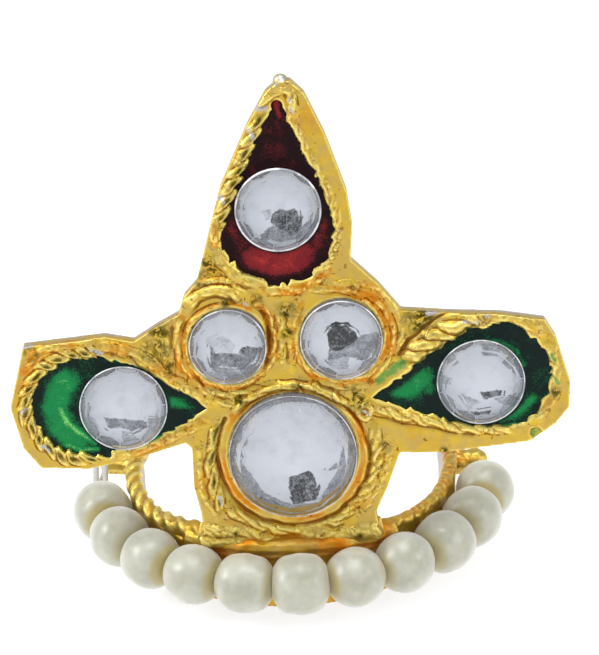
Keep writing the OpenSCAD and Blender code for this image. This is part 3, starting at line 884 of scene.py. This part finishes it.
apply_modifier(ring, "REMESH", mode="VOXEL", voxel_size=CAST_GRAIN, adaptivity=0)
apply_modifier(ring, "SMOOTH", factor=0.5, iterations=2)
rows = points_of(ring)
around = angles_of(rows)
rough = 0.05 * noise_at(rows, 1.6, 4.0) + 0.02 * noise_at(rows, 0.5, 6.0)
soldered = fade(np.abs(around), 34, 42) * step_up(rows[:, 2], 3.8, 4.4)
rough += (0.2 * noise_at(rows, 1.5, 8.0) + 0.1 * noise_at(rows, 0.7, 8.0)) * soldered
filed = step_up(around, 33, 42) * step_up(rows[:, 2], 3.7, 4.2)
rough += (0.06 * noise_at(rows, 0.9, 12.0) + 0.1 * noise_at(rows, 0.4, 13.0)) * filed
rows += points_of(ring, "normal") * rough[:, None]
rows[:, 2] = np.maximum(rows[:, 2], 0)
set_points(ring, rows)
# How far a point stands out drives a painted highlight, and how low it lies painted shade; under the
# plate's foot it is held where it paints neither
on_right = step_up(around, 0, 40)
relief = standing_out(ring, 6) / (0.08 + 0.04 * on_right) + standing_out(ring, 30) / 0.5
relief = np.clip(0.58 + relief * (0.85 - 0.3 * on_right), 0, 1)
relief += (0.47 - relief) * fade(np.abs(around), 33, 42)
keep_values(ring, relief=relief)
thin_out(ring, RING_TRIANGLES)
place, facing = points_of(ring), points_of(ring, "normal")
z, around = place[:, 2], angles_of(place)
inward = -(facing[:, 0] * place[:, 0] + facing[:, 1] * place[:, 1]) / far(place, (0, 0))
# More amber on the right and under the plate's foot, less low down; under the foot it is painted shade
# on the wire and solder
amber = 0.1 + 0.3 * step_up(around, 30, 55) + 0.5 * fade(np.abs(around), 28, 38)
keep_values(ring, bare=step_up(inward, 0.3, 0.8) * fade(z, 3.9, 4.9) * 0.9,
            amber=amber - 0.3 * fade(z, 3.3, 3.8),
            worked=0.7 * fade(around, -42, -33) + 0.4 * step_up(around, 33, 42),
            across=0.7 * z + 0.7 * np.radians(around) * RING_R * fade(around, -30, 0),
            along=np.radians(around) * RING_R,
            **dict.fromkeys(("pebbled", "creased", "spilled"), np.zeros(len(place))))
finish_piece(ring, gilded_casting, ["crown_frame"], Matrix.Identity(4), smooth=180)

# Enamelled drops
# Soft enamel run into the three cells and cured: it creeps up the metal and the stone, so that
# its surface is hollow. Its colour is painted: nearly black, as painted shade from the wire, with
# painted light in streaks that fade out near the walls and the stone.
ENAMEL_GRAIN = 0.13
ENAMEL_UNDER = 0.3
ENAMEL_LEVEL = -0.14
ENAMEL_DEPTH = 0.55
TOP_STONE = (0.1, 23.5)
LEFT_WING_STONE = (-10.7, 10.25)
RIGHT_WING_STONE = (13.0, 11.2)


def enamel_fill(name, cell, stone_at, stone_r, glow):
    """Enamel in a cell, round its stone.

    Glow lists the streaks where light gathers: weight, half width, and the points along it.
    """
    rim = arc(stone_at, stone_r - 0.04, steps=64)
    edges = [[(*p, 0) for p in edge] for edge in (drop_outline(cell, ENAMEL_UNDER), rim)]
    piece = curve_through(name, True, *edges)
    piece.data.dimensions = "2D"
    piece.data.fill_mode = "BOTH"
    piece = as_mesh(piece, (bpy.ops.mesh.extrude_region_move,
                            {"TRANSFORM_OT_translate": {"value": (0, 0, -ENAMEL_DEPTH)}}))
    apply_modifier(piece, "REMESH", mode="VOXEL", voxel_size=ENAMEL_GRAIN, adaptivity=0)
    outline = drop_outline(cell)
    rows = points_of(piece)
    top = rows[:, 2] > -0.2
    wall = beside(rows, outline, True)[2]
    from_stone = far(rows, stone_at) - stone_r
    creep = 0.1 * np.exp(-wall / 0.35) + 0.12 * np.exp(-np.clip(from_stone, 0, 9) / 0.25)
    creep -= 0.3 * step_up(wall, 0, 0.15) * ~within(rows, outline)
    rows[top, 2] = (ENAMEL_LEVEL + creep)[top]
    set_points(piece, rows)
    apply_modifier(piece, "SMOOTH", factor=0.5, iterations=2)
    rows = points_of(piece)
    light = np.zeros(len(rows))
    wavy = wavering(rows, 0.8, 2.0, 6.0)
    shaded = step_up(depth_in(rows, outline), 0.35, 0.95)
    shaded *= step_up(far(rows, stone_at) - stone_r, 0.02, 0.35)
    for weight, half, *streak in glow:
        dist = beside(wavy, streak)[2]
        glint = weight * np.exp(-(dist / half) ** 3) * (shaded if half > 0.2 else 1)
        light = np.maximum(light, glint)
    keep_values(piece, glow=light)
    return piece


def enamel_material(name, unlit_tone, body_tone, lit):
    """Cured enamel: a clear glossy coat over near-black colour, lit in painted streaks of light, with
    fine grains.
    """
    made, tree = new_material(name)
    drift = ramp(tree, mottle(tree, 1.0, 4, 0.8), 0.25, 0.75, -0.14, 0.14)
    grains = ramp(tree, mottle(tree, 0.1), 0.3, 0.7, -0.13, 0.13)
    share = calc(tree, "ADD", calc(tree, "ADD", kept_value(tree, "glow"), drift), grains)
    body = stain(tree, unlit_tone, body_tone, share, 0.02, 0.6)
    body = stain(tree, body, lit, share, 0.65, 1.1)
    coat(tree, {"Base Color": body, "Roughness": 0.5, "Coat Weight": 0.08, "Coat Roughness": 0.1,
                "Specular IOR Level": 0.06})
    return made


red_glaze = enamel_material("red_soft_enamel", "#1a070a", "#7c1f25", "#b8352f")
green_glaze = enamel_material("green_soft_enamel", "#101f1c", "#178245", "#7ccb6a")
# Each drop: CAD node, slot, colour, cell, its stone's place and radius, streaks where light gathers
DROPS = [
    ("red_enamel", "red_enamel", red_glaze, TOP_CELL, TOP_STONE, 2.8, [
     (0.76, 0.95, (-1.3, 20.3), (-0.6, 19.9), (0.1, 19.8), (0.8, 19.9), (1.4, 20.3)),
     (0.3, 0.5, (-3.0, 22.4), (-2.4, 21.2)), (0.3, 0.5, (3.1, 22.2), (2.5, 21.2)),
     (0.6, 0.19, (0.3, 30.75), (0.35, 30.2), (0.5, 29.8)), (0.08, 0.6, (0.1, 29.0), (0.0, 27.8))]),
    ("green_enamel_left", "green_enamel", green_glaze, LEFT_CELL, LEFT_WING_STONE, 2.9, [
     (0.62, 0.95, (-14.5, 12.2), (-15.1, 11.3), (-15.3, 10.2), (-14.9, 8.9), (-13.9, 8.0)),
     (0.95, 0.24, (-14.9, 10.3), (-14.5, 9.4), (-13.9, 8.7), (-13.3, 8.2), (-12.8, 7.9)),
     (0.85, 0.17, (-14.6, 7.7), (-13.6, 7.35), (-12.6, 7.45)), (0.6, 0.45, (-7.4, 10.45), (-6.1, 10.3)),
     (0.7, 0.13, (-11.6, 13.75), (-10.2, 13.55), (-8.9, 12.9)), (0.8, 0.13, (-8.3, 8.15), (-9.4, 7.5)),
     (0.34, 0.3, (-9.5, 13.0), (-8.4, 12.2), (-7.4, 11.4))]),
    ("green_enamel_right", "green_enamel", green_glaze, RIGHT_CELL, RIGHT_WING_STONE, 2.9, [
     (0.6, 0.75, (7.6, 10.7), (8.6, 11.1), (9.2, 11.5)), (0.45, 0.4, (9.3, 12.6), (9.5, 10.7)),
     (0.6, 0.45, (14.6, 8.3), (15.5, 8.7), (16.3, 9.6)),
     (0.95, 0.14, (13.0, 7.85), (14.3, 7.95), (15.2, 8.1)),
     (0.35, 0.15, (14.0, 14.0), (15.4, 13.2), (15.9, 12.2))]),
]
for node, slot, glaze, cell, stone_at, stone_r, glow in DROPS:
    finish_piece(enamel_fill(node + "_fill", cell, stone_at, stone_r, glow), glaze, [node])

# Foiled stones
# Pressed acrylic stones with a flat back, cut with a table and a row of facets inside a smooth
# rim, and silvered behind. They are glued into the cells and bezels. The silvering is charcoal in
# patches, partly tarnish and partly painted dark reflection, and stops short of the rim on the
# large one. Each outer facet has a painted reflection of its own, with painted pale glints along
# its borders, and a whitish ring at the rim is a painted highlight.
STONE_HEIGHT = 0.6
FOIL_STEP = 0.055
FOIL_LIFT = 0.05
FOIL_THICK = 0.03
RIM_FACETS = 11
CELL_SEAT = -0.52
BEZEL_SEAT = -0.3
# Tones that stand for the painted pale glints along the facets' borders, and for the whitish ring
# at the rim, a painted highlight
PAINTED_FACET_GLINT = -0.6
PAINTED_RIM_HIGHLIGHT = -1


def cut_stone(name, r, base, facets):
    """A round stone of height STONE_HEIGHT radii: a smooth rim, then flat facets and a table."""
    bpy.ops.mesh.primitive_cylinder_add(vertices=72, radius=r, depth=STONE_HEIGHT * r,
                                        location=(0, 0, base + STONE_HEIGHT * r / 2))
    piece = bpy.context.active_object
    piece.name = name
    bpy.ops.object.transform_apply()
    for count, tilt, out, up in ((36, 58, 0.995, 0.2), (facets, 22, 0.86, 0.46)):
        lean = radians(tilt)
        for i in range(count):
            turn = 2 * pi * i / count
            way = (cos(turn), sin(turn))
            normal = Vector((way[0] * sin(lean), way[1] * sin(lean), cos(lean)))
            slice_off(piece, (way[0] * r * out, way[1] * r * out, base + up * r), normal)
    return piece


def silvering(name, middle, r, base, rim, edge, marks):
    """The silvered sheet behind a stone, and a whitish ring at the stone's rim, a painted highlight.

    Each point keeps how dark it is. A mark darkens what lies inside it, or outside it where its
    weight is below nought; the marks are partly tarnish and partly painted dark reflection. The
    outer facets each have a painted reflection of their own, a shade between painted pale glints
    along their borders.
    """
    reach = max(Vector(p).length for p in edge)
    count = round(2 * reach / FOIL_STEP)
    bpy.ops.mesh.primitive_grid_add(x_subdivisions=count, y_subdivisions=count, size=2 * reach,
                                    location=(0, 0, base))
    piece = bpy.context.active_object
    bpy.ops.object.transform_apply()
    on_whole(piece, *[(bpy.ops.mesh.bisect, {"plane_co": (*a, base), "clear_outer": True,
                                             "plane_no": (b[1] - a[1], a[0] - b[0], 0)})
                      for a, b in zip(edge, edge[1:] + edge[:1])])
    apply_modifier(piece, "SOLIDIFY", thickness=FOIL_THICK, offset=-1)
    bpy.ops.mesh.primitive_torus_add(major_segments=96, minor_segments=10, major_radius=r - 0.6 * rim,
                                     minor_radius=rim, location=(0, 0, base + 0.2 * r))
    piece = join([piece, bpy.context.active_object], name)
    rows = points_of(piece) + (*middle, 0)
    torn = 0.06 * noise_at(rows, 0.5, 3.0) + 0.05 * noise_at(rows, 0.16, 4.0)
    away = rows[:, :2] - np.array(middle)
    out = np.hypot(*away.T) / reach
    sector = (np.arctan2(away[:, 1], away[:, 0]) / (2 * pi) + 1) * RIM_FACETS
    # Each outer facet gets a painted reflection, a shade of its own, darker next to its borders and
    # whitish along them as a painted glint
    facet_reflections = [random.Random(round(7 * reach * 100) + i).uniform(0, 0.55) for i in range(3 * RIM_FACETS)]
    notch = 0.1 * np.abs(2 * (sector % 1) - 1)
    tone = step_up(out, 0.72 + notch, 0.74 + notch) * np.array(facet_reflections)[sector.astype(int)]
    tone = np.maximum(tone, 0.6 * np.exp(-((out - 0.92) / 0.025) ** 2))
    between = np.abs((sector + 0.5) % 1 - 0.5) / 0.035 + 9 * (out < 0.72)
    border = np.minimum(np.abs(out - 0.73 - notch) / 0.016, between)
    tone = np.where(border < 2.2, tone + 0.22, tone)
    tone = np.where(border < 1, PAINTED_FACET_GLINT, tone)
    for weight, *mark in marks:
        off = depth_in(rows, mark) * copysign(1, weight)
        streaky = 1.0 + 0.5 * noise_at(rows, 0.5, abs(weight)) + 0.35 * noise_at(rows, 0.2, weight)
        tone = np.maximum(tone, abs(weight) * streaky * step_up(off + torn, -0.04, 0.04))
    keep_values(piece, tone=np.where(rows[:, 2] < base + 0.04, tone, PAINTED_RIM_HIGHLIGHT))
    return piece


# Pressed acrylic, clear and water-white
acrylic, tree = new_material("clear_acrylic")
coat(tree, {"Base Color": "#fdfdff", "Roughness": 0.06, "IOR": 1.49, "Transmission Weight": 1.0})

# Vacuum silvering on the back of a stone: pale blue-grey and even, grainy where it darkens,
# and whitish in the painted glints and the painted rim highlight
foil, tree = new_material("vacuum_silvering")
tone, cloud = kept_value(tree, "tone"), mottle(tree, 0.9, 4)
dark = calc(tree, "MULTIPLY", tone, ramp(tree, mottle(tree, 0.1, 4), 0.38, 0.62, 0.72, 1.12))
body = stain(tree, "#e0e4ec", "#d2d6de", cloud, 0.45, 0.8)
body = stain(tree, "#f8f9fb", body, tone, -0.5, -0.3)
body = stain(tree, stain(tree, "#f0f1f3", "#a9adb3", cloud, 0.42, 0.6), body, tone, -0.95, -0.75)
body = stain(tree, body, "#8f939b", dark, 0, 0.5)
body = stain(tree, body, "#14171c", dark, 0.4, 0.95)
coat(tree, {"Base Color": body, "Metallic": 0.35, "Roughness": 0.4})

# Each stone: CAD node, place, radius, seat, edge of its silvering (a radius, or points), thickness
# of its whitish rim ring (a painted highlight), facets, turn, and the marks in its silvering (partly
# tarnish, partly painted dark reflection) as a darkness and the points round them, all on the plate
STONES = [
    ("top_stone", (0.1, 23.5), 2.8, CELL_SEAT, 2.62, 0.09, 18, 0, [
     (0.8, (-0.3, 23.2), (0.2, 23.6), (0.7, 23.4), (1.2, 23.6), (1.5, 23.0), (1.4, 22.2), (0.9, 21.9),
      (0.1, 22.2), (-0.4, 22.7)),
     (0.5, (-1.0, 22.0), (-0.3, 22.5), (0.4, 22.3), (1.4, 22.4), (2.3, 23.0), (2.1, 22.2), (1.4, 21.7),
      (0.4, 21.5), (-0.9, 21.7)),
     (0.3, (-1.0, 23.5), (-0.3, 23.6), (-0.4, 22.9), (-0.7, 22.8)),
     (0.25, (-2.3, 24.9), (-1.5, 26.0), (0.0, 26.35), (1.5, 26.1), (2.4, 25.3), (1.7, 25.4),
      (0.1, 25.8), (-1.5, 25.5))]),
    ("left_wing_stone", (-10.7, 10.25), 2.9, CELL_SEAT, 2.66, 0.05, 10, 8, [
     (0.5, (-12.0, 9.65), (-9.4, 9.35), (-9.4, 8.95), (-10.2, 8.6), (-10.9, 8.9), (-11.8, 8.9)),
     (0.25, (-13.5, 10.3), (-12.4, 9.6), (-12.2, 8.7), (-13.1, 8.9)),
     (0.35, (-9.3, 9.6), (-8.2, 9.6), (-8.8, 8.5), (-9.3, 8.6)),
     (0.3, (-10.9, 8.7), (-10.2, 8.6), (-9.9, 8.2), (-10.8, 8.0)),
     (0.25, (-12.9, 12.9), (-12.0, 12.7), (-12.3, 12.4))]),
    ("right_wing_stone", (13.0, 11.2), 2.9, CELL_SEAT, 2.66, 0.05, 10, 26, [
     (0.4, (13.0, 13.5), (14.3, 13.3), (14.1, 12.7), (13.2, 12.8)),
     (0.4, (14.3, 12.3), (14.8, 12.8), (15.2, 12.0), (14.7, 11.9)),
     (0.35, (11.0, 12.8), (11.5, 13.0), (11.7, 12.4), (11.1, 12.1)),
     (0.3, (10.7, 11.6), (11.3, 11.5), (11.2, 10.9)),
     (0.75, (12.9, 10.5), (14.4, 10.6), (14.3, 10.2), (13.2, 10.0)),
     (0.45, (13.7, 10.0), (15.2, 10.4), (14.8, 9.6)),
     (0.75, (12.4, 9.35), (13.6, 9.45), (13.4, 9.15), (12.6, 9.1)),
     (0.3, (11.6, 10.5), (12.4, 10.1), (13.0, 9.8), (12.2, 9.5))]),
    ("left_small_stone", LEFT_SMALL_STONE, 2.55, BEZEL_SEAT, 2.36, 0.05, 10, 14, [
     (0.6, (-4.8, 14.6), (-4.4, 13.9), (-3.0, 13.85), (-2.6, 14.25), (-1.7, 14.1), (-2.0, 13.4),
      (-2.8, 12.85), (-4.7, 13.1)),
     (0.2, (-4.9, 14.9), (-3.8, 15.1), (-3.0, 14.4), (-3.3, 13.9), (-4.6, 14.0)),
     (0.35, (-4.6, 13.0), (-3.0, 12.8), (-2.2, 13.2), (-2.0, 12.8), (-3.2, 12.3), (-4.2, 12.5))]),
    ("right_small_stone", RIGHT_SMALL_STONE, 2.7, BEZEL_SEAT, 2.5, 0.05, 10, 30, [
     (1.0, (2.95, 14.9), (3.1, 15.35), (3.6, 15.6), (4.3, 15.5), (4.8, 15.0), (5.0, 14.5), (4.3, 14.1),
      (3.9, 13.8), (3.1, 13.8)),
     (0.5, (4.4, 14.3), (5.0, 14.7), (6.1, 14.8), (6.0, 13.9), (5.3, 13.2), (4.4, 13.3), (3.0, 13.2),
      (3.0, 13.8), (3.8, 13.9)),
     (0.3, (2.9, 13.3), (4.4, 13.3), (4.2, 12.7), (3.3, 12.7))]),
    ("center_stone", CENTRE_STONE, 4.25, BEZEL_SEAT, arc(CENTRE_STONE, 4.02, -15, 195, 32) +
     [(-2.2, 4.2), (-1.0, 3.55), (0.3, 3.3), (1.7, 3.45), (2.9, 4.2)], 0.03, 12, 20, [
     (-0.42, (-2.4, 8.3), (-1.9, 8.8), (-1.2, 9.5), (0.4, 9.8), (2.0, 9.7), (2.7, 9.1), (3.2, 8.3),
      (3.6, 7.3), (3.2, 6.3), (3.1, 5.7), (2.2, 4.4), (1.9, 3.6), (0.3, 3.5), (-1.4, 4.4), (-2.1, 5.5),
      (-2.9, 6.5), (-2.6, 7.6)),
     (0.8, (0.1, 5.2), (0.8, 5.4), (1.4, 5.6), (1.7, 5.3), (1.9, 4.7), (1.7, 3.8), (0.3, 3.55),
      (0.0, 4.5)),
     (0.45, (2.3, 5.6), (3.0, 6.1), (3.1, 5.6)),
     (0.35, (-3.0, 7.6), (-2.4, 8.2), (-2.3, 7.5), (-2.8, 7.1))]),
]
for node, at, r, seat_level, edge, rim, facets, turn, marks in STONES:
    stand = STAND_UP @ Matrix.Translation((*at, 0))
    stone = cut_stone(node + "_cut", r, seat_level, facets)
    turned = stand @ Matrix.Rotation(radians(turn), 4, "Z")
    finish_piece(stone, acrylic, [node], turned, smooth=12)
    if isinstance(edge, list):
        edge = [Vector(p) - Vector(at) for p in edge]
    else:
        edge = arc((0, 0), edge, steps=32)
    edge = [tuple(p) for p in edge]
    back = silvering(node + "_silvering", at, r, seat_level + FOIL_LIFT, rim, edge, marks)
    finish_piece(back, foil, [node], stand, smooth=1)

# Pearl beads
# Eleven plastic pearls, flattened a little where they are drilled, and strung round the front of
# the ring. They turn olive towards their drilled ends.
PEARL_COUNT = 11
PEARL_R = 2.05
PEARL_GAP = 0.03
PEARL_PATH_R = 13.5
PEARL_Z = 3.07
PEARL_STEP = 15.84
PEARL_SHIFT = 2.4
PRESSED_BEADS = (4, 5)
PRESSED_FULLER = 0.13

bpy.ops.mesh.primitive_uv_sphere_add(segments=48, ring_count=32, radius=PEARL_R)
bead = bpy.context.active_object
half_step = radians(PEARL_STEP / 2)
for way in (1, -1):
    normal = Vector((-sin(half_step), 0, way * cos(half_step)))
    slice_off(bead, normal * (PEARL_PATH_R * sin(half_step) - PEARL_GAP), normal)
end = step_up(np.abs(points_of(bead)[:, 2]), 1.15, 1.8)

# Pearl lacquer on a plastic bead, cloudy, and olive towards its ends
nacre, tree = new_material("pearl_lacquered_plastic")
body = stain(tree, "#afafa4", "#a09f92", mottle(tree, 1.5, 3), 0.35, 0.65)
body = stain(tree, body, "#dddbc0", mottle(tree, 0.5, 3), 0.45, 0.75, 0.12)
body = stain(tree, body, "#a89a5e", kept_value(tree, "end"), 0.1, 1.0, 0.85)
coat(tree, {"Base Color": body, "Roughness": 0.45, "Subsurface Weight": 1.0,
            "Subsurface Radius": (1.0, 1.0, 0.7), "Subsurface Scale": 4.5 * MM,
            "Coat Weight": 0.7, "Coat Roughness": 0.28, "Sheen Weight": 0.65, "Sheen Roughness": 0.45})

chance = random.Random(5)
for i in range(PEARL_COUNT):
    pearl = bead.copy()
    pearl.data = bead.data.copy()
    pearl.name = "pearl_bead_%02d" % (i + 1)
    scene.collection.objects.link(pearl)
    angle = PEARL_SHIFT + (i - (PEARL_COUNT - 1) / 2) * PEARL_STEP - 90
    stand = (Matrix.Rotation(radians(angle), 4, "Z")
             @ Matrix.Translation((PEARL_PATH_R, 0, PEARL_Z))
             @ Matrix.Rotation(radians(90), 4, "X")
             @ Matrix.Diagonal((chance.uniform(0.97, 1.01), chance.uniform(0.97, 1.02), 1, 1)))
    keep_values(pearl, end=end * chance.uniform(0.5, 1.2))
    rows = points_of(pearl)
    fuller = PRESSED_FULLER if i in PRESSED_BEADS else chance.uniform(0, 0.08)
    rows[:, :2] *= 1 + fuller * step_up(np.abs(rows[:, 2]), 0.4, 1.6)[:, None]
    set_points(pearl, rows * (1 + 0.02 * noise_at(rows, 1.3, i))[:, None])
    finish_piece(pearl, nacre, ["pearl_%02d" % (i + 1)], stand, smooth=40)
bpy.data.objects.remove(bead)

# Bead thread
# White polyester thread, two plies twisted, through the beads and both lugs, and knotted behind
# each lug. Two loose ends of it stand up beside the left lug.
KNOT_STEP = 4.95
KNOT_INWARD = 0.7
KNOT_R = 0.42
THREAD_THICK = 0.36
THREAD_LOBE = 0.3
TAIL_THICK = 0.42
TAILS_X = (-13.62, -12.98)
HALF_STEPS = 100

path = []
for i in range(2 * HALF_STEPS + 1):
    sweep = EYE_RIGHT - EYE_LEFT + 2 * KNOT_STEP
    angle = radians(EYE_LEFT - KNOT_STEP - 90 + sweep * i / (2 * HALF_STEPS))
    reach = PEARL_PATH_R - KNOT_INWARD * max(0, abs(i - HALF_STEPS) - 95) / 5
    path.append(Vector((reach * cos(angle), reach * sin(angle), PEARL_Z)))
thread_parts = [twisted_wire("thread", path, THREAD_THICK, THREAD_LOBE, 0.0, 0, 1.0)]
thread_parts += [lump(KNOT_R, path[end], 0.9) for end in (0, -1)]
for x in TAILS_X:
    tail = [(x - 0.2 * share, -1.6 + 4.6 * share, 1.35 * sin(0.68 * pi * share))
            for share in (i / 20 for i in range(21))]
    thread_parts.append(smooth_wire("tail", tail, TAIL_THICK, PEARL_Z))
thread = join(thread_parts, "bead_thread_strand")
fibre, tree = new_material("polyester_thread")
body = mix_colour(tree, mottle(tree, 0.1), "#d4d4cc", "#9c9c94")
coat(tree, {"Base Color": body, "Roughness": 0.6, "Sheen Weight": 0.4})
finish_piece(thread, fibre, ["bead_thread"], Matrix.Identity(4))
bpy.data.objects.remove(strand_pair)

# Floor
# A white sweep of translucent acrylic under the crown, lit a little from below.
bpy.ops.mesh.primitive_plane_add(size=3.0, location=(0, 0, 0))
floor = bpy.context.active_object
floor.name = "floor"
sweep, tree = new_material("white_acrylic_sweep")
coat(tree, {"Base Color": "#a0a0a0", "Roughness": 0.9, "Specular IOR Level": 0.1,
            "Emission Color": "#ffffff", "Emission Strength": 0.8})
floor.data.materials.append(sweep)

# Studio light
# A white room with a large soft box high on the left, a weaker one on the right and one above.
world = bpy.data.worlds.new("white_room")
scene.world = world
world.use_nodes = True
world.node_tree.nodes.clear()
air = add_node(world.node_tree, "Background", {"Color": "#eef1f5", "Strength": 0.75})
add_node(world.node_tree, "OutputWorld", {"Surface": air.outputs[0]})


def soft_box(name, place, size, power):
    lamp = bpy.data.lights.new(name, "AREA")
    lamp.shape = "SQUARE"
    lamp.size = size
    lamp.energy = power
    box = bpy.data.objects.new(name, lamp)
    scene.collection.objects.link(box)
    box.location = place
    box.rotation_euler = (Vector((0, 0, 0.015)) - Vector(place)).to_track_quat("-Z", "Y").to_euler()


soft_box("soft_box_left", (-0.34, -0.06, 0.26), 0.16, 0.85)
soft_box("soft_box_right", (0.36, -0.16, 0.22), 0.16, 0.35)
soft_box("soft_box_above", (0.0, -0.04, 0.42), 0.2, 0.72)

# Camera
# It looks down at the crown from in front, a little to the right, with a long lens.
CAMERA_ELEVATION = 27.8
CAMERA_AZIMUTH = 1.3
CAMERA_ROLL = -2.66
CAMERA_DISTANCE = 250
LOOK_AT = Vector((0.99, 0, 15.27))
PIXELS_PER_MM = 14.64
FRAME_HEIGHT = 655

e, a, roll = (radians(x) for x in (CAMERA_ELEVATION, CAMERA_AZIMUTH, CAMERA_ROLL))
back = Vector((sin(a) * cos(e), -cos(a) * cos(e), sin(e)))
right = Vector((cos(a), sin(a), 0))
up = back.cross(right)
side = right * cos(roll) + up * sin(roll)
top = -right * sin(roll) + up * cos(roll)
view = bpy.data.cameras.new("camera")
view.sensor_width = 36
view.lens = PIXELS_PER_MM * CAMERA_DISTANCE / FRAME_HEIGHT * view.sensor_width
view.clip_start = 0.01
view.clip_end = 10
camera = bpy.data.objects.new("camera", view)
scene.collection.objects.link(camera)
turned = Matrix((side, top, back)).transposed().to_4x4()
camera.matrix_world = Matrix.Translation((LOOK_AT + back * CAMERA_DISTANCE) * MM) @ turned
scene.camera = camera
scene.view_settings.view_transform = "Standard"
